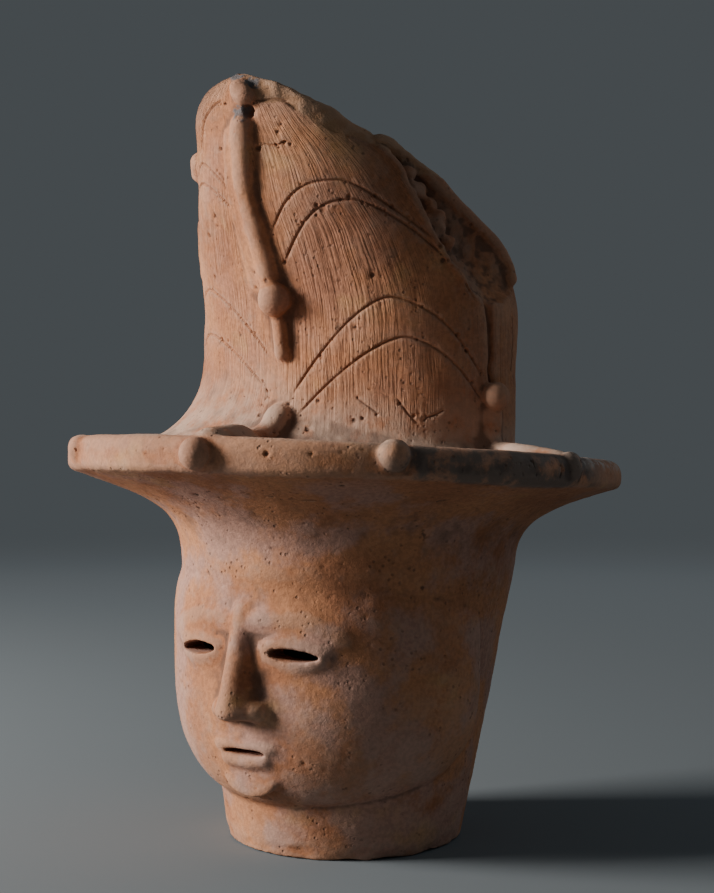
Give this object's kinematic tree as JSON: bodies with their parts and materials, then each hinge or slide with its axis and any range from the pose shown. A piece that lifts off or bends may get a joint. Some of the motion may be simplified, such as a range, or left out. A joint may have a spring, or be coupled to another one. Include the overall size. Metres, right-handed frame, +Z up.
{
  "type": "haniwa head in a brimmed hat",
  "caption": "Hollow fired-clay head with a calm mask-like face under a wide-brimmed, tall leaning hat with applied straps and clay pellets; it stands on its open neck.",
  "frame": {"origin": "middle of the bounding box's underside, which is on the axis of the neck's open ring", "axes": "+Z up to the hat's tip, the face looks along -Y, +X is the figure's left"},
  "size_m": [0.3198, 0.329, 0.419],
  "materials": {
    "fired_clay": "matt, unglazed, worn and dusty"
  },
  "bodies": {
    "root": {"haniwa_head": "fired_clay"}
  },
  "joints": []
}
